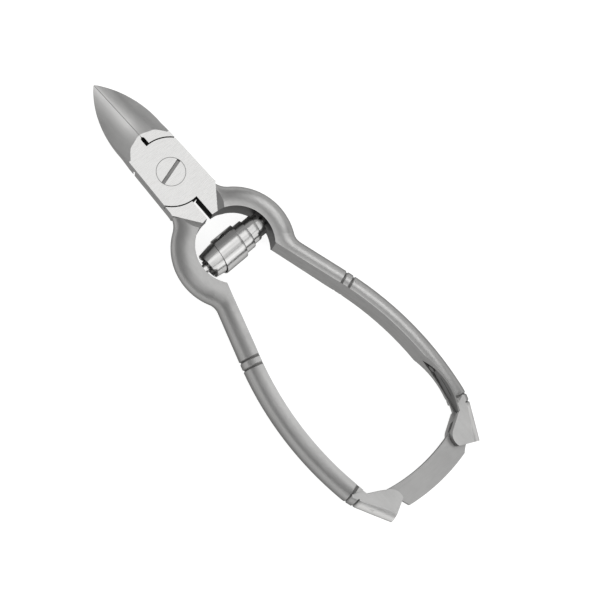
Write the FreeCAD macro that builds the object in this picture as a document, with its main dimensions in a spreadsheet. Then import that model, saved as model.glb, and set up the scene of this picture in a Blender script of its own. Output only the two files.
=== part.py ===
"""Toenail nipper: two crossed forgings on a slotted joint screw, a barrel spring and a back lock.

Built about the pivot axis with +Y to the jaws, then placed so that the origin is the centre of
the closed outline on the surface that the nipper lies on.
"""
import FreeCAD, Part
import math
import os

from FreeCAD import Placement, Rotation, Vector

# The driving dimensions, in millimetres and degrees, all seen from the pivot axis.
SIZES = [
    ("pivot_y", 38.8, "pivot axis ahead of the outline's centre"),
    ("lying_height", 5.64, "middle plane above the surface that the nipper lies on"),
    ("joint_half", 3.0, "half thickness of the ground lap joint"),
    ("blank_half", 7.0, "half thickness of the blank that a forging is cut from"),
    ("ear_half", 4.1, "half thickness across the flat ears of a fork"),
    ("face_gap", 0.05, "from the middle plane to each lapped face"),
    ("lap_radius", 9.4, "rounded end of each lapped leaf"),
    ("lap_gap", 0.35, "clearance round each lapped leaf"),
    ("joint_side_front", 6.85, "half width where the jaws begin"),
    ("joint_side_back", 7.5, "half width where the shanks begin"),
    ("jaw_root_y", 12.0, "where the jaw's curved back starts"),
    ("jaw_tip_y", 31.6, "tip of the jaws"),
    ("edge_gap", 0.05, "from the middle to each cutting edge"),
    ("relief_half", 0.55, "half width of the relief behind the edges"),
    ("relief_end_y", 12.2, "front end of that relief"),
    ("stop_half", 0.9, "half width of the gap between the shanks"),
    ("arch_x", 0.6, "centre of the arch round the spring"),
    ("arch_y", -26.0, "centre of the arch round the spring"),
    ("arch_inner", 10.2, "inner radius of the arch"),
    ("arch_outer", 16.4, "outer radius of the arch"),
    ("bow_x", -70.6, "centre of the handle's long bow"),
    ("bow_y", -79.3, "centre of the handle's long bow"),
    ("bow_inner", 89.5, "radius of the handle's flat inner side"),
    ("handle_width", 4.8, "handle, from inner to outer side"),
    ("handle_round", 4.6, "width of the handle's rounding"),
    ("arch_round", 6.0, "width of the arch's rounding"),
    ("fork_x", 13.6, "lock pins, from the middle"),
    ("fork_y", -104.1, "lock pins, behind the pivot"),
    ("ear_radius", 3.5, "rounded ears of the fork"),
    ("fork_half", 1.3, "half width of the slot in the fork"),
    ("tail_y", -108.4, "end of the handle"),
    ("ring_step", 1.15, "from an ornament ring's middle to each of its grooves"),
    ("groove_depth", 0.42, "V groove beside a ring"),
    ("head_radius", 3.92, "head of the joint screw"),
    ("head_depth", 1.5, "height of the screw's head"),
    ("shoulder_radius", 2.6, "bearing shoulder of the screw"),
    ("thread_radius", 2.0, "threaded end of the screw"),
    ("running_gap", 0.05, "radial clearance of a turning fit"),
    ("slot_width", 1.0, "screwdriver slot"),
    ("slot_depth", 0.7, "screwdriver slot"),
    ("pin_radius", 0.9, "lock pins"),
    ("lock_half", 1.05, "half thickness of the lock bar"),
    ("lock_centre_y", -56.4, "centre of the lock bar's curve"),
    ("lock_half_width", 3.2, "half width of the lock bar"),
    ("lock_butt", 2.7, "round butt of the lock bar, about its pin"),
    ("spring_y", -25.5, "axis of the barrel spring"),
    ("peg_radius", 1.3, "nose of a spring peg"),
    ("peg_length", 3.2, "nose of a spring peg"),
    ("peg_root_radius", 1.0, "end of a spring peg that is pressed into the arch"),
    ("peg_root", 3.5, "end of a spring peg that is pressed into the arch"),
    ("rivet_radius", 0.6, "rivet of the leaf spring"),
    ("rivet_head_radius", 1.0, "rivet of the leaf spring"),
    ("rivet_reach", 2.6, "rivet of the leaf spring, from under its head"),
    ("leaf_half", 3.3, "half width of the leaf spring"),
    ("leaf_thick", 0.5, "thickness of the leaf spring"),
]

doc = FreeCAD.newDocument("Nipper")
sheet = doc.addObject("Spreadsheet::Sheet", "Sizes")
for row, (alias, value, note) in enumerate(SIZES, start=1):
    sheet.set(f"A{row}", note)
    sheet.set(f"B{row}", str(value))
    sheet.setAlias(f"B{row}", alias)
doc.recompute()


def size(alias):
    """A driving dimension as a plain number."""
    return float(getattr(sheet, alias))


def on_circle(cx, cy, radius, degrees):
    angle = math.radians(degrees)
    return Vector(cx + radius * math.cos(angle), cy + radius * math.sin(angle), 0)


def arc(start, middle, end):
    return Part.Arc(start, middle, end)


def line(start, end):
    return Part.LineSegment(start, end)


# ------------------------------------------------------------------ sketches and features

def new_body(name):
    return doc.addObject("PartDesign::Body", name)


def add_sketch(body, name, edges, role="XY_Plane", offset=0.0):
    """A closed outline on one of the body's own origin planes, raised by offset."""
    sketch = body.newObject("Sketcher::SketchObject", name)
    plane = [f for f in body.Origin.OriginFeatures if f.Role == role][0]
    sketch.AttachmentSupport = [(plane, "")]
    sketch.MapMode = "FlatFace"
    sketch.AttachmentOffset = Placement(Vector(0, 0, offset), Rotation())
    for edge in edges:
        sketch.addGeometry(edge, False)
    return sketch


def add_pad(body, sketch, name, length, both_ways=True, reverse=False):
    """A pad whose length is an expression on the sheet."""
    pad = body.newObject("PartDesign::Pad", name)
    pad.Profile = sketch
    pad.setExpression("Length", length)
    if both_ways:
        pad.SideType = "Symmetric"
    pad.Reversed = reverse
    doc.recompute()
    return pad


# ------------------------------------------------------------------ the forging's outline

ARCH = Vector(size("arch_x"), size("arch_y"), 0)
BOW = Vector(size("bow_x"), size("bow_y"), 0)
FORK = Vector(size("fork_x"), size("fork_y"), 0)
BOW_OUTER = size("bow_inner") + size("handle_width")
LAP = size("lap_radius")
SHANK_Y = -9.7          # where the joint's ground side ends
FRONT_RING_Y = -51.8    # the ring nearer the jaws
REAR_RING_Y = -97.4     # the ring nearer the lock
DISH_Y = -89.7          # the shallow hollow in the flat inner side, round the pocket
DISH_RADIUS = 27.4
DISH_DEPTH = 1.0
POCKET_TOP_Y = -82.2    # the leaf spring's pocket
POCKET_END_Y = -101.5
POCKET_HALF = 4.0
POCKET_DEPTH = 2.4
RIVET_Y = -85.5         # the leaf spring's rivet
SLOT_ANGLE = 16.5       # the screw's slot, from across the nipper
BUTT_TURNS = (-110, -30, 30)    # the round butt of the lock bar, start, middle and end

# The handle's outer side in plan.
SIDE_BLEND = 5.5        # from the joint's side into the arch
NECK_BLEND = 4.0        # from the arch into the long bow
BOW_TOP_Y = -51.0       # where the long bow starts on the outer side
BOW_MIDDLE_Y = -74.0
BOW_END_Y = -95.0       # where it ends
TAIL_RADIUS = 17.0      # the tighter bend of the handle's end
TAIL_TURN = -27.3       # its direction where the straight tail starts

# The handle's inner side in plan.
ARCH_FOOT_TURN = -39    # where the arch's inner side ends
FLAT_TOP_Y = -50.0      # the flat inner side's long bow
FLAT_MIDDLE_Y = -76.0
FLAT_END_Y = -98.2
EAR_TURNS = (119, 190, 262)     # the round end of a fork's ears, start, middle and end

# Half thickness and rounding of the handle where each edge of its outer path starts, and at
# the end of the last one.
HANDLE_SECTIONS = [
    (3.8, "arch_round"),
    (4.3, "arch_round"),
    (4.9, "arch_round"),
    (5.05, "handle_round"),
    (5.64, "handle_round"),
    (5.64, "handle_round"),
    (5.1, "handle_round"),
    (4.6, "handle_round"),
]
# Each ring's edge of the outer path, its place and the handle's half thickness there.
RING_EDGES = [(4, FRONT_RING_Y, 5.64), (5, REAR_RING_Y, 5.4)]


def bow_point(radius, y):
    """The point of the handle's long bow at a given height."""
    return Vector(BOW.x + math.sqrt(radius ** 2 - (y - BOW.y) ** 2), y, 0)


def side_x(y):
    """Half width of the joint, which widens a little towards the handles."""
    front, back = size("joint_side_front"), size("joint_side_back")
    root = size("jaw_root_y")
    return front + (back - front) * (root - y) / (root - SHANK_Y)


def lap_corner(sign):
    """Where the joint's side meets the leaf's round end, ahead of or behind the pivot."""
    y = 6.0 * sign
    for _ in range(20):
        y = sign * math.sqrt(LAP ** 2 - side_x(y) ** 2)
    return Vector(side_x(y), y, 0)


def concave_blend(point, along, radius, towards):
    """An arc outside the arch's circle, tangent to it and to a line beside it.

    The line runs through point in the unit direction along; towards is +1 when the blend lies
    ahead of the arch's centre on that line and -1 behind it.  Gives line end, middle, arch end.
    """
    outward = Vector(along.y, -along.x, 0)
    if outward.x < 0:
        outward = -outward
    beside = (point - ARCH).dot(outward)
    centre_radius = size("arch_outer") + radius
    ahead = towards * math.sqrt(centre_radius ** 2 - (beside + radius) ** 2)
    centre = ARCH + outward * (beside + radius) + along * ahead
    on_line = centre - outward * radius
    on_arch = ARCH + (centre - ARCH) * (size("arch_outer") / centre_radius)
    to_middle = ((on_line - centre) + (on_arch - centre)).normalize()
    return on_line, centre + to_middle * radius, on_arch


def outer_path():
    """The handle's outer side in plan, all tangent, from the joint to the tail's end."""
    side_back = Vector(side_x(SHANK_Y), SHANK_Y, 0)
    side_up = (lap_corner(1) - side_back).normalize()
    on_side, top_middle, arch_top = concave_blend(side_back, side_up, SIDE_BLEND, 1)
    bow_start = bow_point(BOW_OUTER, BOW_TOP_Y)
    radial = (bow_start - BOW).normalize()
    neck_up = Vector(-radial.y, radial.x, 0)
    neck_low, neck_middle, arch_end = concave_blend(bow_start, neck_up, NECK_BLEND, -1)
    bow_end = bow_point(BOW_OUTER, BOW_END_Y)
    bow_down = math.degrees(math.asin((bow_end.y - BOW.y) / BOW_OUTER))
    turn = bow_end - (bow_end - BOW).normalize() * TAIL_RADIUS
    tail_start = on_circle(turn.x, turn.y, TAIL_RADIUS, TAIL_TURN)
    tail_middle = on_circle(turn.x, turn.y, TAIL_RADIUS, (bow_down + TAIL_TURN) / 2)
    fall = tail_start.y - size("tail_y")
    tail_end = tail_start - Vector(math.tan(math.radians(-TAIL_TURN)) * fall, fall, 0)
    return [
        arc(on_side, top_middle, arch_top),
        arc(arch_top, on_circle(ARCH.x, ARCH.y, size("arch_outer"), 15), arch_end),
        arc(arch_end, neck_middle, neck_low),
        line(neck_low, bow_start),
        arc(bow_start, bow_point(BOW_OUTER, BOW_MIDDLE_Y), bow_end),
        arc(bow_end, tail_middle, tail_start),
        line(tail_start, tail_end),
    ]


def inner_path(stop_corner, tail_out):
    """The stop, the arch's inner side, the flat inner side of the handle and its ear."""
    arch_in = size("arch_inner")
    drop = math.sqrt(arch_in ** 2 - (stop_corner.x - ARCH.x) ** 2)
    arch_start = Vector(stop_corner.x, ARCH.y + drop, 0)
    arch_end = on_circle(ARCH.x, ARCH.y, arch_in, ARCH_FOOT_TURN)
    bow_start = bow_point(size("bow_inner"), FLAT_TOP_Y)
    bow_end = bow_point(size("bow_inner"), FLAT_END_Y)
    ear = [on_circle(FORK.x, FORK.y, size("ear_radius"), turn) for turn in EAR_TURNS]
    return [
        line(stop_corner, arch_start),
        arc(arch_start, on_circle(ARCH.x, ARCH.y, arch_in, 20), arch_end),
        line(arch_end, bow_start),
        arc(bow_start, bow_point(size("bow_inner"), FLAT_MIDDLE_Y), bow_end),
        line(bow_end, ear[0]),
        arc(*ear),
        line(ear[2], tail_out),
    ]


def forging_edges():
    """The whole forging in plan: jaw on the left, handle on the right, leaf in the middle."""
    relief, stop, edge = size("relief_half"), size("stop_half"), size("edge_gap")
    tip_y, root_y = size("jaw_tip_y"), size("jaw_root_y")
    back, front = lap_corner(-1), lap_corner(1)
    back_corner = Vector(-back.x, back.y, 0)
    stop_corner = Vector(stop, -math.sqrt(LAP ** 2 - stop ** 2), 0)
    relief_corner = Vector(-relief, math.sqrt(LAP ** 2 - relief ** 2), 0)
    relief_front = Vector(-relief, size("relief_end_y") - relief, 0)
    edge_start = Vector(-edge, size("relief_end_y"), 0)
    tip_inner = Vector(-edge, tip_y, 0)
    tip_outer = Vector(-edge - 0.25, tip_y - 0.15, 0)
    root = Vector(-side_x(root_y), root_y, 0)
    outer = outer_path()
    side_end = outer[0].StartPoint
    tail_out = outer[-1].EndPoint
    return [
        arc(back_corner, on_circle(0, 0, LAP, -112), stop_corner),
        *inner_path(stop_corner, tail_out),
        *outer,
        line(side_end, front),
        arc(front, on_circle(0, 0, LAP, 68), relief_corner),
        line(relief_corner, relief_front),
        line(relief_front, edge_start),
        line(edge_start, tip_inner),
        line(tip_inner, tip_outer),
        arc(tip_outer, Vector(-5.0, 23.9, 0), root),
        line(root, back_corner),
    ]


# ------------------------------------------------------------------ the handle's section

def quarter_oval(corner, apex, centre):
    """A quarter of an ellipse from corner to apex, as one cubic curve."""
    roundness = 0.5523
    towards_apex = (apex - centre) * roundness
    towards_corner = (corner - centre) * roundness
    curve = Part.BezierCurve()
    curve.setPoles([corner, corner + towards_apex, apex + towards_corner, apex])
    return curve


def handle_section(point, along, half, width, sunk=0.0):
    """A D-section across the handle: half an ellipse outside, flat and wide inside."""
    inward = Vector(along.y, -along.x, 0)
    rise = Vector(0, 0, half - sunk)
    reach = 13.5
    centre = point + inward * width
    apex = point + inward * sunk
    deep = inward * (reach - width)
    edges = [
        quarter_oval(centre + rise, apex, centre),
        quarter_oval(centre - rise, apex, centre),
        line(centre - rise, centre - rise + deep),
        line(centre - rise + deep, centre + rise + deep),
        line(centre + rise + deep, centre + rise),
    ]
    return Part.Wire(Part.__sortEdges__([e.toShape() for e in edges]))


def section_at(edge, place, half, width):
    """The handle's section at one end or a fraction of an edge of its outer path."""
    spot = edge.FirstParameter + (edge.LastParameter - edge.FirstParameter) * place
    return handle_section(edge.value(spot), edge.tangent(spot)[0].normalize(), half, width)


# ------------------------------------------------------------------ solids and booleans

def add_solid(name, shape):
    """A solid that Part's own functions make."""
    feature = doc.addObject("Part::Feature", name)
    feature.Shape = shape
    return feature


def add_boolean(kind, name, base, tool):
    result = doc.addObject("Part::" + kind, name)
    result.Base = base
    result.Tool = tool
    doc.recompute()
    return result


def cut(name, base, tool):
    """A cut that must take material away."""
    result = add_boolean("Cut", name, base, tool)
    if result.Shape.Volume > base.Shape.Volume - 1e-4:
        raise RuntimeError(f"{name} cuts nothing")
    return result


def fuse(name, base, tool):
    return add_boolean("Fuse", name, base, tool)


def common(name, base, tool):
    return add_boolean("Common", name, base, tool)


def add_cylinder(name, radius, length, base, direction=Vector(0, 0, 1)):
    """A cylinder whose radius and height are expressions on the sheet."""
    cylinder = doc.addObject("Part::Cylinder", name)
    cylinder.setExpression("Radius", radius)
    cylinder.setExpression("Height", length)
    cylinder.Placement = Placement(base, Rotation(Vector(0, 0, 1), direction))
    doc.recompute()
    return cylinder


def add_prism(name, points, low, high):
    """A straight-sided block on a plan outline, between two heights."""
    corners = [Vector(x, y, low) for x, y in points]
    face = Part.Face(Part.makePolygon(corners + corners[:1]))
    return add_solid(name, face.extrude(Vector(0, 0, high - low)))


def both_sides(name, shape):
    """A cutter for the front face together with its mirror image for the back face."""
    mirrored = shape.mirror(Vector(0, 0, 0), Vector(0, 0, 1))
    return add_solid(name, Part.makeCompound([shape, mirrored]))


# ------------------------------------------------------------------ one forging

def parameter_at(edge, y):
    """The parameter of a plan edge at a given height."""
    low, high = edge.FirstParameter, edge.LastParameter
    falling = edge.value(high).y < edge.value(low).y
    for _ in range(50):
        middle = (low + high) / 2
        if (edge.value(middle).y > y) == falling:
            low = middle
        else:
            high = middle
    return (low + high) / 2


def ring_cutter(name, edge, y, half):
    """Two V grooves across the rounded side, with a raised ring between them.

    Each station is a place along the handle, in ring steps, and its share of the groove's depth.
    """
    step, depth = size("ring_step"), size("groove_depth")
    spot = parameter_at(edge, y)
    point, along = edge.value(spot), edge.tangent(spot)[0].normalize()
    stations = [(-1.45, -0.3), (-1.0, 1.0), (-0.6, 0.0), (0.6, 0.0), (1.0, 1.0), (1.45, -0.3)]
    sections = [
        handle_section(point + along * (place * step), along, half, size("handle_round"),
                       sunk * depth)
        for place, sunk in stations
    ]
    kept = Part.makeLoft(sections, True, True)
    slab = Part.makeBox(2.8 * step, 14.0, 16.0, Vector(-1.4 * step, -12.5, -8.0))
    heading = math.degrees(math.atan2(along.y, along.x))
    slab.Placement = Placement(point, Rotation(Vector(0, 0, 1), heading))
    return add_solid(name, slab.cut(kept))


def handle_envelope(name, path):
    """The rounded handle: each edge of the outer path sweeps the D-section along itself."""
    lengths = []
    for edge, start, end in zip(path, HANDLE_SECTIONS, HANDLE_SECTIONS[1:]):
        pipe = Part.BRepOffsetAPI.MakePipeShell(Part.Wire([edge.toShape()]))
        pipe.add(section_at(edge, 0.0, start[0], size(start[1])), False, False)
        pipe.add(section_at(edge, 1.0, end[0], size(end[1])), False, False)
        pipe.build()
        pipe.makeSolid()
        lengths.append(pipe.shape())
    return add_solid(name, lengths[0].fuse(lengths[1:]))


def joint_zone(name, half):
    """The block that holds the ground joint and the jaws, behind which the shank begins."""
    points = [(-13, 36), (13, 36), (13, -2.1), (0, -19.5), (-13, -19.5)]
    return add_prism(name, points, -half, half)


def leaning_block(point, line_along, lean):
    """A large block above a plane that holds a plan line and leans down behind it."""
    block = Part.makeBox(90, 60, 30, Vector(-45, -60, 0))
    heading = math.degrees(math.atan2(line_along.y, line_along.x))
    turn = Rotation(line_along, lean).multiply(Rotation(Vector(0, 0, 1), heading))
    block.Placement = Placement(point, turn)
    return block


def above_jaws(y, ridge_z, lean):
    """The space above the jaws at one place along them: a round ridge between two flanks."""
    ridge_half, flank_end, shoulder, reach, top = 1.5, 3.6, 5.4, 9.0, 8.0
    ridge_side = ridge_z - lean * ridge_half / 2
    flank_z = ridge_side - lean * (flank_end - ridge_half)
    shoulder_z = flank_z - lean * (shoulder - flank_end)
    reach_z = shoulder_z - (lean + 0.35) * (reach - shoulder)
    half = [(ridge_half, ridge_side), (flank_end, flank_z), (shoulder, shoulder_z),
            (reach, reach_z), (reach, top)]
    right = [Vector(x, y, z) for x, z in half]
    left = [Vector(-x, y, z) for x, z in half]
    edges = [arc(left[0], Vector(0, y, ridge_z), right[0])]
    for side in (right, left):
        rounded_off = Part.BezierCurve()
        rounded_off.setPoles(side[1:4])
        edges += [line(side[0], side[1]), rounded_off, line(side[3], side[4])]
    edges.append(line(right[4], left[4]))
    return Part.Wire(Part.__sortEdges__([edge.toShape() for edge in edges]))


def jaw_cutters(name):
    """The domed faces of the jaws, front and back, whose flanks grow steeper to the tip."""
    root, tip = 9.0, 33.0
    fall = 0.13
    ridge_z = size("joint_half") + (12.9 - root) * fall
    profiles = [above_jaws(root, ridge_z, 0.0125),
                above_jaws(tip, ridge_z - (tip - root) * fall, 0.3125)]
    return both_sides(name, Part.makeLoft(profiles, True, True))


def make_forging(name):
    """Jaw, lapped leaf, arch and handle, ground from one blank, still without its holes."""
    path = outer_path()
    body = new_body(name + "_blank")
    outline = add_sketch(body, name + "_outline", forging_edges())
    add_pad(body, outline, name + "_plate", "Sizes.blank_half * 2")
    envelope = handle_envelope(name + "_envelope", path)
    rounded = common(name + "_rounded", body, envelope)
    zone = joint_zone(name + "_zone", size("blank_half") + 1)
    handle = cut(name + "_handle", rounded, zone)
    shoulder_point = Vector(7.3, -9.74, size("joint_half"))
    shoulder_line = Vector(13.0, 17.4, 0)
    shoulder = leaning_block(shoulder_point, shoulder_line, -35)
    handle = cut(name + "_shoulder", handle, both_sides(name + "_shoulder_cutter", shoulder))
    ears = Part.makeBox(40, 40, 30, Vector(-20, -40, 0))
    ears_start = Vector(FORK.x, REAR_RING_Y - 0.4, size("ear_half"))
    ears_heading = 18
    ears.Placement = Placement(ears_start, Rotation(Vector(0, 0, 1), ears_heading))
    handle = cut(name + "_ears", handle, both_sides(name + "_ear_cutter", ears))
    for number, (edge, y, half) in enumerate(RING_EDGES):
        cutter = ring_cutter(f"{name}_ring_cutter_{number}", path[edge], y, half)
        handle = cut(f"{name}_ring_{number}", handle, cutter)
    joint_body = new_body(name + "_joint_blank")
    joint_outline = add_sketch(joint_body, name + "_joint_outline", forging_edges())
    add_pad(joint_body, joint_outline, name + "_joint_plate", "Sizes.joint_half * 2")
    joint = common(name + "_joint", joint_body, zone)
    joint = cut(name + "_jaw", joint, jaw_cutters(name + "_jaw_cutter"))
    whole = fuse(name + "_whole", joint, handle)
    return whole


# ------------------------------------------------------------------ the two halves

def fork_cutter(name):
    """The slot between a fork's ears, in which the lock bar lies and swings."""
    half = size("fork_half")
    swing = size("lock_half_width") + 0.4
    round_part = Part.makeCylinder(swing, 2 * half, FORK - Vector(0, 0, half))
    way_in = Part.makeBox(swing + 8.0, 7.0, 2 * half, FORK - Vector(8.0, 0, half))
    way_out = Part.makeBox(8.0, 8.0, 2 * half, FORK - Vector(8.0, 8.0, half))
    return add_solid(name, round_part.fuse(way_in).fuse(way_out))


def leaf_groove(name):
    """A groove as wide as the fork's slot, from the leaf's pocket down into the fork."""
    half = size("fork_half")
    block = Part.makeBox(16.0, 9.0, 2 * half, Vector(8.0, -103.5, -half))
    floor = Part.makeCylinder(size("bow_inner") + POCKET_DEPTH, 12, BOW - Vector(0, 0, 6))
    return add_solid(name, block.common(floor))


def lens_wire(x, top_y, bottom_y, half):
    """A leaf-shaped outline in a plane across X."""
    top, bottom = Vector(x, top_y, 0), Vector(x, bottom_y, 0)
    middle_y = (top_y + bottom_y) / 2
    left, right = Vector(x, middle_y, half), Vector(x, middle_y, -half)
    return Part.Wire([arc(top, left, bottom).toShape(), arc(bottom, right, top).toShape()])


def dish(name, y, radius, depth):
    """A shallow hollow, right across the flat inner side of the handle."""
    outwards = (bow_point(size("bow_inner"), y) - BOW).normalize()
    centre = BOW + outwards * (size("bow_inner") + depth - radius)
    hollow = Part.makeCylinder(radius, 20, centre - Vector(0, 0, 10))
    ahead_of_fork = Part.makeBox(20, 19.5, 20, Vector(8, -98.5, -10))
    return add_solid(name, hollow.common(ahead_of_fork))


def recess(name, top_y, bottom_y, half, depth):
    """A leaf-shaped recess of an even depth in the flat inner side of the handle."""
    opening = Part.Face(lens_wire(8.0, top_y, bottom_y, half)).extrude(Vector(16, 0, 0))
    floor = Part.makeCylinder(size("bow_inner") + depth, 20, BOW - Vector(0, 0, 10))
    return add_solid(name, opening.common(floor))


def make_front_half():
    """Left jaw, front leaf of the lap joint and right handle, bored for screw, pin and pegs."""
    half = make_forging("front")
    reach = size("blank_half") + 1
    lap = add_cylinder("front_lap", "Sizes.lap_radius + Sizes.lap_gap",
                       "Sizes.blank_half + 1 + Sizes.face_gap", Vector(0, 0, -reach))
    half = cut("front_lapped", half, lap)
    head = add_cylinder("front_head_bore", "Sizes.head_radius + Sizes.running_gap",
                        "Sizes.head_depth + 1",
                        Vector(0, 0, size("joint_half") - size("head_depth") - 0.05))
    half = cut("front_counterbored", half, head)
    bore = add_cylinder("front_shoulder_bore", "Sizes.shoulder_radius + Sizes.running_gap",
                        "Sizes.joint_half", Vector(0, 0, -0.5))
    half = cut("front_bored", half, bore)
    half = cut("front_forked", half, fork_cutter("front_fork"))
    hollow = dish("front_dish", DISH_Y, DISH_RADIUS, DISH_DEPTH)
    half = cut("front_dished", half, hollow)
    pocket = recess("front_pocket", POCKET_TOP_Y, POCKET_END_Y, POCKET_HALF, POCKET_DEPTH)
    half = cut("front_pocketed", half, pocket)
    half = cut("front_grooved", half, leaf_groove("front_leaf_groove"))
    pin = add_cylinder("front_pin_bore", "Sizes.pin_radius", "Sizes.ear_half * 2 + 2",
                       FORK - Vector(0, 0, size("ear_half") + 1))
    half = cut("front_pinned", half, pin)
    rivet = add_cylinder("front_rivet_bore", "Sizes.rivet_radius", "Sizes.rivet_reach",
                         rivet_foot(), rivet_way())
    half = cut("front_riveted", half, rivet)
    peg = add_cylinder("front_peg_bore", "Sizes.peg_root_radius", "Sizes.peg_root",
                       Vector(peg_seat(), size("spring_y"), 0), Vector(1, 0, 0))
    return cut("front_half", half, peg)


def make_back_half():
    """The same forging for the other side, built as the front one and then turned over."""
    half = make_forging("back")
    reach = size("blank_half") + 1
    lap = add_cylinder("back_lap", "Sizes.lap_radius + Sizes.lap_gap",
                       "Sizes.blank_half + 1 + Sizes.face_gap", Vector(0, 0, -reach))
    half = cut("back_lapped", half, lap)
    bore = add_cylinder("back_thread_bore", "Sizes.thread_radius", "Sizes.joint_half + 2",
                        Vector(0, 0, -1))
    half = cut("back_bored", half, bore)
    half = cut("back_forked", half, fork_cutter("back_fork"))
    pin = add_cylinder("back_pin_bore", "Sizes.pin_radius", "Sizes.ear_half * 2 + 2",
                       FORK - Vector(0, 0, size("ear_half") + 1))
    half = cut("back_pinned", half, pin)
    peg = add_cylinder("back_peg_bore", "Sizes.peg_root_radius", "Sizes.peg_root",
                       Vector(peg_seat(), size("spring_y"), 0), Vector(1, 0, 0))
    return cut("back_half", half, peg)


# ------------------------------------------------------------------ the small pieces

def peg_seat():
    """Where the back of a peg's nose touches the curved inner side of the arch."""
    aside = abs(size("spring_y") - ARCH.y) + size("peg_radius")
    return ARCH.x + math.sqrt(size("arch_inner") ** 2 - aside ** 2)


def rivet_way():
    """Outwards through the handle's side at the leaf spring's rivet."""
    return (bow_point(size("bow_inner"), RIVET_Y) - BOW).normalize()


def rivet_foot():
    """On the outer face of the leaf spring, where the rivet enters the handle."""
    return BOW + rivet_way() * (size("bow_inner") + POCKET_DEPTH - 1.15)


def make_screw():
    """Joint screw: slotted flush head, bearing shoulder and threaded end."""
    head_low = size("joint_half") - size("head_depth")
    head = add_cylinder("screw_head", "Sizes.head_radius", "Sizes.head_depth",
                        Vector(0, 0, head_low))
    shoulder = add_cylinder("screw_shoulder", "Sizes.shoulder_radius",
                            "Sizes.joint_half - Sizes.head_depth + Sizes.face_gap",
                            Vector(0, 0, -size("face_gap")))
    thread = add_cylinder("screw_thread", "Sizes.thread_radius", "Sizes.joint_half",
                          Vector(0, 0, -size("joint_half")))
    shank = fuse("screw_shank", shoulder, thread)
    blank = fuse("screw_blank", head, shank)
    slot = doc.addObject("Part::Box", "screw_slot")
    slot.setExpression("Length", "Sizes.head_radius * 2 + 1")
    slot.setExpression("Width", "Sizes.slot_width")
    slot.setExpression("Height", "Sizes.slot_depth + 1")
    turn = Rotation(Vector(0, 0, 1), SLOT_ANGLE)
    corner = Vector(-size("head_radius") - 0.5, -size("slot_width") / 2, 0)
    height = Vector(0, 0, size("joint_half") - size("slot_depth"))
    slot.Placement = Placement(turn.multVec(corner) + height, turn)
    return cut("pivot_screw", blank, slot)


def make_peg(name):
    """A peg with a round nose that centres one end of the spring."""
    seat = peg_seat()
    shank = add_cylinder(name + "_nose", "Sizes.peg_radius", "Sizes.peg_length",
                         Vector(seat, size("spring_y"), 0), Vector(-1, 0, 0))
    root = add_cylinder(name + "_root", "Sizes.peg_root_radius", "Sizes.peg_root",
                        Vector(seat, size("spring_y"), 0), Vector(1, 0, 0))
    whole = fuse(name + "_blank", shank, root)
    rounding = doc.addObject("Part::Fillet", name)
    rounding.Base = whole
    tip_x = seat - size("peg_length")
    tips = [n for n, e in enumerate(whole.Shape.Edges, 1)
            if abs(e.BoundBox.XMax - tip_x) < 1e-3]
    rounding.Edges = [(n, 0.6, 0.6) for n in tips]
    doc.recompute()
    return rounding


def make_pin(name):
    """A plain pin through both ears of a fork, ground flush with them."""
    pin = doc.addObject("Part::Cylinder", name)
    pin.setExpression("Radius", "Sizes.pin_radius")
    pin.setExpression("Height", "Sizes.ear_half * 2")
    pin.Placement = Placement(FORK - Vector(0, 0, size("ear_half")), Rotation())
    doc.recompute()
    return pin


def make_lock_bar():
    """Curved flat bar: round butt on its pin, and a nose that lies over the other fork's pin."""
    half, width = size("lock_half"), size("lock_half_width")
    centre = Vector(0, size("lock_centre_y"), 0)
    radius = (FORK - centre).Length
    far_pin = Vector(-FORK.x, FORK.y, 0)
    nose_reach = 1.9
    spread = math.degrees(math.asin(FORK.x / radius))
    nose_turn = spread + math.degrees(nose_reach / radius)
    start, end = -90 + spread, -90 - nose_turn
    inner = [on_circle(0, centre.y, radius - width, a) for a in (start, -90, end)]
    outer = [on_circle(0, centre.y, radius + width, a) for a in (start - 4, -90, end)]
    butt = [on_circle(FORK.x, FORK.y, size("lock_butt"), a) for a in BUTT_TURNS]
    outline = [
        arc(*inner),
        line(inner[2], outer[2]),
        arc(*reversed(outer)),
        arc(outer[0], butt[0], butt[1]),
        arc(butt[1], butt[2], inner[0]),
    ]
    body = new_body("lock_bar_body")
    sketch = add_sketch(body, "lock_bar_outline", outline)
    add_pad(body, sketch, "lock_bar_plate", "Sizes.lock_half * 2")
    bore = add_cylinder("lock_bore", "Sizes.pin_radius + Sizes.running_gap",
                        "Sizes.lock_half * 2 + 2", FORK - Vector(0, 0, half + 1))
    bar = cut("lock_bored", body, bore)
    seat = size("pin_radius") + 0.15
    rest = Part.makeCylinder(seat, 4 * half, far_pin - Vector(0, 0, 2 * half))
    corner = far_pin + Vector(-8.0, -8.0, -2 * half)
    way_down = Part.makeBox(8.0 + seat, 8.0, 4 * half, corner)
    way_out = Part.makeBox(8.0, 8.0 + seat, 4 * half, corner)
    notch = add_solid("lock_notch", rest.fuse(way_down).fuse(way_out))
    bar = cut("lock_notched", bar, notch)
    slant = [(1.05, 0.0), (3.2, -2.1), (3.9, -4.1), (3.9, -8.0), (-2.4, -8.0), (-2.4, 0.0)]
    points = [(far_pin.x + x, far_pin.y + y) for x, y in slant]
    return cut("lock_bar", bar, add_prism("lock_slant", points, -2 * half, 2 * half))


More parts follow.
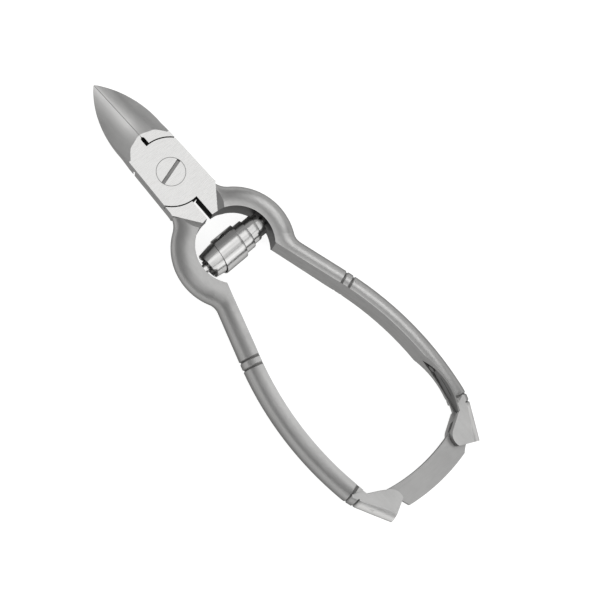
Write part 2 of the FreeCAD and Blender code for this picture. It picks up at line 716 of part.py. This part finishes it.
def make_leaf_spring():
    """Leaf spring of the lock: a curved pointed tongue with a slit along its middle."""
    thick = size("leaf_thick")
    start, middle, end = Vector(20.42, -83.2, 0), Vector(19.5, -92.0, 0), Vector(16.6, -100.9, 0)
    bend = arc(start, middle, end).toShape().Curve
    centre, radius = bend.Center, bend.Radius
    outer_points = [centre + (p - centre) * ((radius + thick / 2) / radius)
                    for p in (start, middle, end)]
    inner_points = [centre + (p - centre) * ((radius - thick / 2) / radius)
                    for p in (start, middle, end)]
    outline = Part.Wire([
        arc(*outer_points).toShape(),
        line(outer_points[2], inner_points[2]).toShape(),
        arc(*reversed(inner_points)).toShape(),
        line(inner_points[0], outer_points[0]).toShape(),
    ])
    strip = Part.Face(outline).extrude(Vector(0, 0, 8)).translated(Vector(0, 0, -4))
    tongue = Part.Face(lens_wire(5.0, -82.7, -101.9, size("leaf_half"))).extrude(Vector(30, 0, 0))
    slit = Part.makeBox(30, 5.5, 0.45, Vector(5, -94.5, -0.225))
    tongue = tongue.cut(slit)
    leaf = add_solid("leaf_blank", strip.common(tongue))
    bore = add_cylinder("leaf_bore", "Sizes.rivet_radius", "Sizes.rivet_reach + 2",
                        rivet_foot() - rivet_way(), rivet_way())
    return cut("lock_leaf_spring", leaf, bore)


def make_rivet():
    """Rivet that holds the leaf spring against the floor of its pocket."""
    shank = add_cylinder("rivet_shank", "Sizes.rivet_radius", "Sizes.rivet_reach",
                         rivet_foot(), rivet_way())
    head = add_cylinder("rivet_head", "Sizes.rivet_head_radius", "Sizes.leaf_thick",
                        rivet_foot() - rivet_way() * size("leaf_thick"), rivet_way())
    return fuse("leaf_spring_rivet", shank, head)


def make_barrel_spring():
    """Barrel spring as one hollow stepped body of revolution, of the rolled strip's outer form."""
    wall = 0.9
    outer = [(-8.8, 3.55), (-4.6, 4.35), (-4.6, 4.7), (2.5, 4.7), (2.5, 3.95), (5.6, 3.95),
             (5.6, 3.2), (8.1, 3.2), (8.1, 2.65), (10.3, 2.65)]
    inner = [(10.3, 2.65 - wall), (5.6, 3.2 - wall), (2.5, 3.95 - wall), (-4.6, 4.7 - wall - 0.3),
             (-8.8, 3.55 - wall)]
    points = [Vector(x, r, 0) for x, r in outer + inner]
    body = new_body("barrel_spring")
    sketch = add_sketch(body, "barrel_spring_profile",
                        [line(a, b) for a, b in zip(points, points[1:] + points[:1])])
    turn = body.newObject("PartDesign::Revolution", "barrel_spring_turn")
    turn.Profile = sketch
    turn.ReferenceAxis = (sketch, ["H_Axis"])
    turn.Angle = 360
    doc.recompute()
    return body


# ------------------------------------------------------------------ the assembly

IN_PLACE = Placement(Vector(0, size("pivot_y"), size("lying_height")), Rotation())
TURNED_OVER = IN_PLACE.multiply(Placement(Vector(), Rotation(Vector(0, 1, 0), 180)))
SPRING_LINE = IN_PLACE.multiply(Placement(Vector(0, size("spring_y"), 0), Rotation()))


def place(name, made, placement):
    """One sub-part: its label is its node's name, and its placement is the assembly's."""
    made.Label = name
    made.Placement = placement.multiply(made.Placement)
    return name, made


nodes = [
    place("front_half", make_front_half(), IN_PLACE),
    place("back_half", make_back_half(), TURNED_OVER),
    place("pivot_screw", make_screw(), IN_PLACE),
    place("spring_peg_right", make_peg("spring_peg_right"), IN_PLACE),
    place("spring_peg_left", make_peg("spring_peg_left"), TURNED_OVER),
    place("barrel_spring", make_barrel_spring(), SPRING_LINE),
    place("lock_bar", make_lock_bar(), IN_PLACE),
    place("lock_pivot_pin", make_pin("lock_pivot_pin"), IN_PLACE),
    place("lock_catch_pin", make_pin("lock_catch_pin"), TURNED_OVER),
    place("lock_leaf_spring", make_leaf_spring(), IN_PLACE),
    place("leaf_spring_rivet", make_rivet(), IN_PLACE),
]
doc.recompute()

for item in doc.Objects:
    if "Invalid" in item.State or "Error" in item.State:
        raise RuntimeError(f"{item.Name} is {item.State}")
for name, made in nodes:
    if made.Shape.isNull() or not made.Shape.isValid() or len(made.Shape.Solids) != 1:
        raise RuntimeError(f"{name} is not one valid solid")

os.makedirs("parts", exist_ok=True)
for name, made in nodes:
    made.Shape.exportStep(f"parts/{name}.step")
    box = made.Shape.optimalBoundingBox(True, False)
    low = [round(v, 2) for v in (box.XMin, box.YMin, box.ZMin)]
    high = [round(v, 2) for v in (box.XMax, box.YMax, box.ZMax)]
    print(name, round(made.Shape.Volume, 1), low, high)
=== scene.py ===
"""Looks of the toenail nipper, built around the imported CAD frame.  Everything is in metres."""
import math

import bpy
from mathutils import Matrix, Vector


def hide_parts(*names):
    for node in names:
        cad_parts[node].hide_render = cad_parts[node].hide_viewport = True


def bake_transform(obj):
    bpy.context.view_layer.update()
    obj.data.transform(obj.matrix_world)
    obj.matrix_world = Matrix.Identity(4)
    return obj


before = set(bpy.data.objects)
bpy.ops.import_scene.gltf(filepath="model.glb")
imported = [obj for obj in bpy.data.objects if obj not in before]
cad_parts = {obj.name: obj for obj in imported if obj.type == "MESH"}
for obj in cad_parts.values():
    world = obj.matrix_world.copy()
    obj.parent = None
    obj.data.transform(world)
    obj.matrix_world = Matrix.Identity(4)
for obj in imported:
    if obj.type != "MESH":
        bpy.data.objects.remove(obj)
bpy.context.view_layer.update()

MM = 0.001

# Places in the frame that the looks depend on.
PIVOT = Vector((0.0, 38.8, 5.64)) * MM
LAP_RADIUS = 9.58 * MM        # middle of the clearance round each lapped leaf
JOINT_HALF = 3.0 * MM         # half thickness of the ground joint
SCREW_RADIUS = 3.94 * MM      # seam round the screw's head
SPRING_Y = 13.3 * MM          # axis of the barrel spring, at the pivot's height
ARCH = Vector((0.6, 12.8, 5.64)) * MM       # centre of the arch round the spring
ARCH_INNER = 10.2 * MM
BOW = Vector((-70.6, -40.5, 5.64)) * MM     # centre of the handle's long bow
BOW_INNER = 89.5 * MM         # radius of its flat inner side
JOINT_END_Y = 29.0 * MM       # the ground joint's sides run from here to the jaws
TAIL_Y = -60.0 * MM           # the handles' ends start here; their sloping edges carry a painted highlight
JAWS_Y = 53.0 * MM            # and the jaws' cutting edges here
POCKET_Y = (-64.0 * MM, -43.0 * MM)
STOP_Y = (20.5 * MM, 50.9 * MM)             # the gap between the two halves, shanks to relief

# Tones are reflectances of bare steel; some below are painted shade or painted highlights, as
# marked. A pair is the range that its grain or cloud varies over.
EDGE_TINT = 0.35              # how bright it stays at a glancing angle
GROUND = (0.46, 0.55)         # the ground faces of joint and screw
GROUND_ROUGH = (0.22, 0.32)
SATIN = (0.31, 0.35)
SATIN_ROUGH = (0.32, 0.42)
FLAT_SIDES = (0.34, 0.40)
SATIN_SIDE_SHADE_SHARE = 0.62       # of the satin tone, kept where a side stands upright: painted shade
# Painted highlight along the line where the jaws meet.
JAW_HIGHLIGHT_EXTRA = 0.22
# Painted highlight on the sloping edges of the handles' ends.
TAIL_HIGHLIGHT_TONE = 0.6
SCREW_SEAM_TONE = 0.16
# Painted shade on the arch's inner wall.
ARCH_SHADE_TONE = 0.16
# Painted shade on the walls of the handle's pocket.
POCKET_SHADE_TONE = 0.06
# Painted shade on the walls of the stop gap between the two halves.
STOP_SHADE_TONE = 0.042
# Painted shade on the clearance walls round each lapped leaf.
LAP_SHADE_TONE = 0.035
GAP_ROUGH = 0.6
SLOT = (0.11, 0.20)
SCREW_EDGE_TONE = 0.2

GRINDING_SCALE = (350, 5200, 350)           # fine lines across the nipper
GRINDING_TURN = (0, 0, math.radians(32))


# ------------------------------------------------------------------ material building blocks

class Nodes:
    """A short way to build one material's node tree."""

    def __init__(self, name):
        self.material = bpy.data.materials.new(name)
        self.material.use_nodes = True
        self.tree = self.material.node_tree
        self.shader = self.tree.nodes["Principled BSDF"]
        self.place = self.add("ShaderNodeTexCoord").outputs["Object"]
        self.normal = self.add("ShaderNodeNewGeometry").outputs["True Normal"]
        self.axes = self.split(self.place)
        self.facing = self.split(self.normal)

    def add(self, kind, **settings):
        node = self.tree.nodes.new(kind)
        for key, value in settings.items():
            setattr(node, key, value)
        return node

    def link(self, source, target):
        self.tree.links.new(source, target)

    def feed(self, socket, value):
        """A linked output, or a constant on the socket itself."""
        if isinstance(value, (int, float)):
            socket.default_value = value
        else:
            self.link(value, socket)

    def split(self, vector):
        node = self.add("ShaderNodeSeparateXYZ")
        self.link(vector, node.inputs[0])
        return node.outputs

    def math(self, operation, first, second=0.0):
        node = self.add("ShaderNodeMath", operation=operation)
        self.feed(node.inputs[0], first)
        self.feed(node.inputs[1], second)
        return node.outputs[0]

    def near(self, value, centre, reach):
        """One within reach of a centre, falling softly to nothing at twice that."""
        away = self.math("ABSOLUTE", self.math("SUBTRACT", value, centre))
        return self.ramp(away, reach, 2 * reach, 1.0, 0.0)

    def between(self, value, low, high, edge):
        rise = self.ramp(value, low - edge, low + edge, 0.0, 1.0)
        return self.math("MULTIPLY", rise, self.ramp(value, high - edge, high + edge, 1.0, 0.0))

    def both(self, *masks):
        result = masks[0]
        for mask in masks[1:]:
            result = self.math("MULTIPLY", result, mask)
        return result

    def mapped(self, scale, rotation=(0, 0, 0)):
        mapping = self.add("ShaderNodeMapping")
        mapping.inputs["Scale"].default_value = scale
        mapping.inputs["Rotation"].default_value = rotation
        self.link(self.place, mapping.inputs["Vector"])
        return mapping.outputs["Vector"]

    def noise(self, scale, rotation=(0, 0, 0), detail=3.0):
        noise = self.add("ShaderNodeTexNoise")
        noise.inputs["Scale"].default_value = 1.0
        noise.inputs["Detail"].default_value = detail
        noise.inputs["Roughness"].default_value = 0.6
        self.link(self.mapped(scale, rotation), noise.inputs["Vector"])
        return noise.outputs["Fac"]

    def ramp(self, value, low, high, to_low, to_high):
        node = self.add("ShaderNodeMapRange")
        node.inputs["From Min"].default_value = low
        node.inputs["From Max"].default_value = high
        node.inputs["To Min"].default_value = to_low
        node.inputs["To Max"].default_value = to_high
        self.link(value, node.inputs["Value"])
        return node.outputs["Result"]

    def grey(self, value):
        """A number as a grey colour, with the faint warmth of steel."""
        node = self.add("ShaderNodeCombineColor")
        for channel, share in zip(node.inputs, (1.0, 0.995, 0.985)):
            self.link(self.math("MULTIPLY", value, share), channel)
        return node.outputs[0]

    def choose(self, mask, off, on):
        """A number that goes from off to on where the mask is one."""
        node = self.add("ShaderNodeMix", data_type="FLOAT")
        self.feed(node.inputs[0], mask)
        self.feed(node.inputs[2], off)
        self.feed(node.inputs[3], on)
        return node.outputs[0]

    def bump(self, height, strength, distance):
        node = self.add("ShaderNodeBump")
        node.inputs["Strength"].default_value = strength
        node.inputs["Distance"].default_value = distance
        self.link(height, node.inputs["Height"])
        self.link(node.outputs["Normal"], self.shader.inputs["Normal"])

    def steel(self, tone, rough):
        """Bare metal of a reflectance and a roughness, each a number or an output."""
        self.shader.inputs["Metallic"].default_value = 1.0
        self.shader.inputs["Specular Tint"].default_value = (EDGE_TINT, EDGE_TINT, EDGE_TINT, 1)
        self.link(self.grey(tone), self.shader.inputs["Base Color"])
        self.link(rough, self.shader.inputs["Roughness"])
        return self.material

    def distance(self, centre):
        """Distance in plan from an upright axis, on either side of the nipper alike."""
        x = self.math("ABSOLUTE", self.axes["X"])
        x = self.math("SUBTRACT", x, centre.x)
        y = self.math("SUBTRACT", self.axes["Y"], centre.y)
        squares = self.math("ADD", self.math("MULTIPLY", x, x), self.math("MULTIPLY", y, y))
        return self.math("SQRT", squares)

    def pivot_distance(self):
        return self.distance(PIVOT)

    def height_from_middle(self):
        return self.math("ABSOLUTE", self.math("SUBTRACT", self.axes["Z"], PIVOT.z))


# ------------------------------------------------------------------ finishes

def forging_steel():
    """Satin handles and jaws and a bright ground joint, with painted shade on upright sides and on
    the walls of the narrow gaps, the arch and the pocket, and painted highlights on the jaws and the
    handles' ends.
    """
    m = Nodes("satin_steel")
    blasted = m.noise((2600, 900, 2600))
    cloud = m.noise((90, 60, 90), detail=2.0)
    streaks = m.noise((700, 60, 700), detail=2.0)
    ground = m.noise(GRINDING_SCALE, GRINDING_TURN)
    tilt = m.math("ABSOLUTE", m.facing["Z"])
    streaked = m.ramp(streaks, 0.3, 0.7, 0.0, 0.03)
    satin_tone = m.math("ADD", m.ramp(cloud, 0.3, 0.7, *SATIN), streaked)
    # Painted shade: the satin darkens as a surface turns upright, as if shaded from the light above.
    side_shade = m.ramp(tilt, 0.0, 0.6, SATIN_SIDE_SHADE_SHARE, 1.0)
    satin_tone = m.math("MULTIPLY", satin_tone, side_shade)
    inner_side = m.ramp(m.distance(BOW), BOW_INNER + 3.0 * MM, BOW_INNER + 3.4 * MM, 1.0, 0.0)
    joint_side = m.ramp(m.axes["Y"], JOINT_END_Y - 0.5 * MM, JOINT_END_Y + 0.5 * MM, 0.0, 1.0)
    flat_wall = m.both(m.ramp(tilt, 0.01, 0.04, 1.0, 0.0),
                       m.math("MAXIMUM", inner_side, joint_side))
    satin_tone = m.choose(flat_wall, satin_tone, m.ramp(streaks, 0.3, 0.7, *FLAT_SIDES))
    # Painted highlight: the sloping edges of the handles' ends are made bright, leaving out flat
    # faces and upright walls.
    tail_highlight = m.both(m.ramp(m.axes["Y"], TAIL_Y - 0.5 * MM, TAIL_Y + 0.5 * MM, 1.0, 0.0),
                  m.ramp(tilt, 0.9, 0.99, 1.0, 0.0), m.ramp(tilt, 0.03, 0.15, 0.0, 1.0))
    satin_tone = m.choose(tail_highlight, satin_tone, TAIL_HIGHLIGHT_TONE)
    aside = m.math("ABSOLUTE", m.axes["X"])
    # Painted highlight: a bright band along the jaws' meeting line, towards the cutting edges.
    jaw_highlight = m.both(m.ramp(aside, 0.6 * MM, 3.4 * MM, 1.0, 0.0),
                   m.ramp(m.axes["Y"], JAWS_Y - 3.0 * MM, JAWS_Y + 3.0 * MM, 0.0, 1.0))
    satin_tone = m.math("ADD", satin_tone, m.math("MULTIPLY", jaw_highlight, JAW_HIGHLIGHT_EXTRA))
    satin_rough = m.ramp(blasted, 0.3, 0.7, *SATIN_ROUGH)
    upright = m.ramp(tilt, 0.9985, 0.9995, 0.0, 1.0)
    face = m.both(m.near(m.height_from_middle(), JOINT_HALF, 0.03 * MM), upright)
    tone = m.choose(face, satin_tone, m.ramp(ground, 0.35, 0.65, *GROUND))
    rough = m.choose(face, satin_rough, m.ramp(ground, 0.3, 0.7, *GROUND_ROUGH))
    seam = m.both(m.near(m.pivot_distance(), SCREW_RADIUS, 0.05 * MM), face)
    wall = m.ramp(tilt, 0.3, 0.6, 1.0, 0.0)
    # Painted shade: the walls of the clearance round each lapped leaf, below the joint face, are
    # darkened.
    below = m.ramp(m.height_from_middle(), JOINT_HALF - 0.2 * MM, JOINT_HALF - 0.1 * MM, 1.0, 0.0)
    within = m.ramp(aside, 6.9 * MM, 7.0 * MM, 1.0, 0.0)
    lap = m.both(m.near(m.pivot_distance(), LAP_RADIUS, 0.25 * MM), below, within)
    # Painted shade: the upright walls of the stop gap between the two halves are darkened.
    middle = m.ramp(aside, 1.0 * MM, 1.15 * MM, 1.0, 0.0)
    stop = m.both(middle, wall, m.between(m.axes["Y"], *STOP_Y, 0.2 * MM))
    gap = m.math("MAXIMUM", lap, stop)
    from_arch = m.distance(ARCH)
    # Painted shade: the upright wall inside the arch is darkened.
    arch = m.both(m.ramp(from_arch, ARCH_INNER + 0.15 * MM, ARCH_INNER + 0.3 * MM, 1.0, 0.0), wall)
    # Painted shade: the upright walls of the pocket in the handle's inner side are darkened.
    depth = m.distance(BOW)
    pocket = m.both(m.between(depth, BOW_INNER + 1.2 * MM, BOW_INNER + 2.8 * MM, 0.1 * MM),
                    m.between(m.axes["Y"], *POCKET_Y, 0.2 * MM), wall)
    tone = m.choose(seam, tone, SCREW_SEAM_TONE)
    tone = m.choose(arch, tone, ARCH_SHADE_TONE)
    tone = m.choose(pocket, tone, POCKET_SHADE_TONE)
    tone = m.choose(stop, tone, STOP_SHADE_TONE)
    tone = m.choose(lap, tone, LAP_SHADE_TONE)
    m.bump(blasted, 0.10, 0.02 * MM)
    return m.steel(tone, m.choose(gap, rough, GAP_ROUGH))


def screw_steel():
    """Ground with the joint's face, with a darker slot and a thin dark edge."""
    m = Nodes("screw_steel")
    ground = m.noise(GRINDING_SCALE, GRINDING_TURN)
    face = m.ramp(m.height_from_middle(), JOINT_HALF - 0.08 * MM, JOINT_HALF - 0.04 * MM, 0.0, 1.0)
    edge = m.ramp(m.pivot_distance(), SCREW_RADIUS - 0.12 * MM, SCREW_RADIUS - 0.06 * MM, 0.0, 1.0)
    slot_tone = m.ramp(ground, 0.3, 0.7, *SLOT)
    tone = m.choose(face, slot_tone, m.ramp(ground, 0.35, 0.65, *GROUND))
    tone = m.choose(edge, tone, SCREW_EDGE_TONE)
    m.bump(ground, 0.05, 0.01 * MM)
    return m.steel(tone, m.ramp(ground, 0.3, 0.7, *GROUND_ROUGH))


def small_steel(name, low, high, rough, grain, cloud_scale=(120, 120, 120)):
    """Plain bare steel with a fine grain, for the small pieces."""
    m = Nodes(name)
    noise = m.noise(grain)
    cloud = m.noise(cloud_scale, detail=2.0)
    m.bump(noise, 0.06, 0.01 * MM)
    grained = m.ramp(noise, 0.3, 0.7, rough * 0.8, rough * 1.2)
    return m.steel(m.ramp(cloud, 0.3, 0.7, low, high), grained)


FORGING = forging_steel()
SCREW = screw_steel()
# The spring's tone runs in streaks along its axis: painted reflection streaks, like those on a
# polished cylinder.
SPRING = small_steel("spring_steel", 0.33, 0.58, 0.20, (900, 120, 120), (20, 620, 620))
LOCK = small_steel("lock_steel", 0.26, 0.29, 0.36, (300, 4200, 4200))
LEAF = small_steel("leaf_steel", 0.16, 0.22, 0.38, (900, 300, 3000))

FINISHES = {
    "front_half": FORGING,
    "back_half": FORGING,
    "pivot_screw": SCREW,
    "spring_peg_right": SPRING,
    "spring_peg_left": SPRING,
    "barrel_spring": SPRING,
    "lock_bar": LOCK,
    "lock_pivot_pin": FORGING,
    "lock_catch_pin": FORGING,
    "lock_leaf_spring": LEAF,
    "leaf_spring_rivet": LEAF,
}


def finish_cad_nodes():
    for node, material in FINISHES.items():
        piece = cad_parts[node]
        piece.data.materials.clear()
        piece.data.materials.append(material)


# ------------------------------------------------------------------ barrel spring

# The rolled strip at certain turns, in mm: turn, middle along the axis, outer radius.  Turns count
# from the top of the widest lap, and the radius changes only underneath.
SPRING_TURNS = [
    (-1.60, -5.20, 4.30),
    (-0.67, -5.20, 4.30),
    (-0.33, -2.40, 4.70),
    (0.33, 0.00, 4.70),
    (0.67, 1.10, 4.05),
    (1.33, 2.50, 4.05),
    (1.67, 3.60, 3.50),
    (2.33, 5.60, 3.50),
    (2.67, 6.10, 3.08),
    (3.30, 6.45, 3.08),
]
STRIP_WIDTH = 7.1
STRIP_THICKNESS = 0.34
CONE_TAPER = 0.16       # how the first lap narrows to its open end
CONE_KNEE = 0.5


def along_strip(turn):
    """Middle and radius of the strip at any turn, and how much of the cone is left there."""
    for first, second in zip(SPRING_TURNS, SPRING_TURNS[1:]):
        if turn <= second[0]:
            break
    share = (turn - first[0]) / (second[0] - first[0])
    soft = share * share * (3 - 2 * share)
    middle = first[1] + (second[1] - first[1]) * share
    radius = first[2] + (second[2] - first[2]) * soft
    cone = min(1.0, max(0.0, (-0.33 - turn) / 0.34))
    return middle, radius, cone


def strip_section():
    """Across the strip: along the axis and outwards, with rolled edges."""
    half, thick = STRIP_WIDTH / 2, STRIP_THICKNESS
    edge = 0.12
    top = [(-half, -edge), (-half + edge * 0.3, -edge * 0.3), (-half + edge, 0.0)]
    across = [(-half + edge + (STRIP_WIDTH - 2 * edge) * i / 6, 0.0) for i in range(1, 6)]
    far = [(half - edge, 0.0), (half - edge * 0.3, -edge * 0.3), (half, -edge)]
    under = [(half, -thick + edge), (half - edge, -thick),
             (-half + edge, -thick), (-half, -thick + edge)]
    return top + across + far + under


def barrel_spring():
    """A double volute: one wide strip rolled so that each turn slips inside its neighbour."""
    steps = 96
    first, last = SPRING_TURNS[0][0], SPRING_TURNS[-1][0]
    section = strip_section()
    vertices, faces = [], []
    count = int((last - first) * steps)
    for step in range(count + 1):
        turn = first + step / steps
        middle, radius, cone = along_strip(turn)
        angle = math.pi / 2 - turn * 2 * math.pi
        for along, out in section:
            taper = cone * CONE_TAPER * min(along - CONE_KNEE, 0.0)
            r = (radius + out + taper) * MM
            x = (middle + along) * MM
            vertices.append((x, SPRING_Y + r * math.cos(angle), PIVOT.z + r * math.sin(angle)))
    size = len(section)
    for step in range(count):
        for i in range(size):
            j = (i + 1) % size
            a, b = step * size, (step + 1) * size
            faces.append((a + i, b + i, b + j, a + j))
    faces.append(tuple(reversed(range(size))))
    faces.append(tuple(range(count * size, (count + 1) * size)))
    mesh = bpy.data.meshes.new("barrel_spring_strip")
    mesh.from_pydata(vertices, [], faces)
    mesh.validate()
    mesh.update()
    for polygon in mesh.polygons:
        polygon.use_smooth = True
    mesh.materials.append(SPRING)
    spring = bpy.data.objects.new("barrel_spring_strip", mesh)
    bpy.context.collection.objects.link(spring)
    bpy.context.view_layer.objects.active = spring
    spring.select_set(True)
    bpy.ops.object.shade_auto_smooth(angle=math.radians(35))
    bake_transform(spring)
    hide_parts("barrel_spring")
    return spring


# ------------------------------------------------------------------ stage, light and camera

HORIZON_LIGHT = 0.30
ZENITH_LIGHT = 0.62
FLOOR_GLOW = 0.82       # keeps the floor white, with only a faint shadow


def floor():
    """A plain white floor."""
    bpy.ops.mesh.primitive_plane_add(size=6.0, location=(0, 0, 0))
    plane = bpy.context.object
    plane.name = "floor"
    m = Nodes("floor_white")
    mottle = m.ramp(m.noise((40, 40, 40)), 0.3, 0.7, 0.34, 0.36)
    m.link(m.grey(mottle), m.shader.inputs["Base Color"])
    m.shader.inputs["Roughness"].default_value = 0.9
    m.shader.inputs["Specular IOR Level"].default_value = 0.1
    m.shader.inputs["Emission Color"].default_value = (1, 1, 1, 1)
    m.shader.inputs["Emission Strength"].default_value = FLOOR_GLOW
    plane.data.materials.append(m.material)


def sky():
    """A soft dome of light, brightest overhead and grey at the horizon."""
    world = bpy.data.worlds.new("studio")
    bpy.context.scene.world = world
    world.use_nodes = True
    tree = world.node_tree
    place = tree.nodes.new("ShaderNodeTexCoord")
    axes = tree.nodes.new("ShaderNodeSeparateXYZ")
    ramp = tree.nodes.new("ShaderNodeMapRange")
    ramp.inputs["To Min"].default_value = HORIZON_LIGHT
    ramp.inputs["To Max"].default_value = ZENITH_LIGHT
    tree.links.new(place.outputs["Generated"], axes.inputs["Vector"])
    tree.links.new(axes.outputs["Z"], ramp.inputs["Value"])
    tree.links.new(ramp.outputs["Result"], tree.nodes["Background"].inputs["Color"])


def soft_box(name, place, width, height, power, aimed=True):
    """A rectangular studio light that the camera doesn't see, facing the nipper or straight down."""
    light = bpy.data.lights.new(name, "AREA")
    light.shape = "RECTANGLE"
    light.size, light.size_y = width, height
    light.energy = power
    lamp = bpy.data.objects.new(name, light)
    bpy.context.collection.objects.link(lamp)
    lamp.location = place
    lamp.visible_camera = False
    if aimed:
        lamp.rotation_euler = (-Vector(place)).to_track_quat("-Z", "Y").to_euler()


def camera():
    """The photograph's viewing angle, with the nipper's jaws at the upper left."""
    data = bpy.data.cameras.new("camera")
    data.sensor_width = 36.0
    data.lens = 80.48
    data.clip_start = 0.01
    item = bpy.data.objects.new("camera", data)
    bpy.context.collection.objects.link(item)
    place = Vector((-0.0778, -0.01768, 0.35597))
    aim = Vector((0.004406, -0.009444, 0.00564))
    top_of_frame = Vector((0.6331, 0.7560, 0.1663))
    back = (place - aim).normalized()
    right = top_of_frame.cross(back).normalized()
    turn = Matrix((right, back.cross(right), back)).transposed().to_4x4()
    item.matrix_world = Matrix.Translation(place) @ turn
    bpy.context.scene.camera = item


finish_cad_nodes()
barrel_spring()
floor()
sky()
soft_box("overhead_light", (-0.04, -0.02, 0.70), 0.74, 0.86, 2.0, aimed=False)
soft_box("left_light", (-0.55, 0.0, 0.50), 0.4, 0.5, 0.4)
soft_box("hand_side_light", (0.0, -0.60, 0.38), 0.8, 0.55, 1.7)
soft_box("right_light", (0.60, 0.10, 0.28), 0.5, 0.35, 1.1)
camera()
bpy.context.scene.view_settings.view_transform = "Standard"
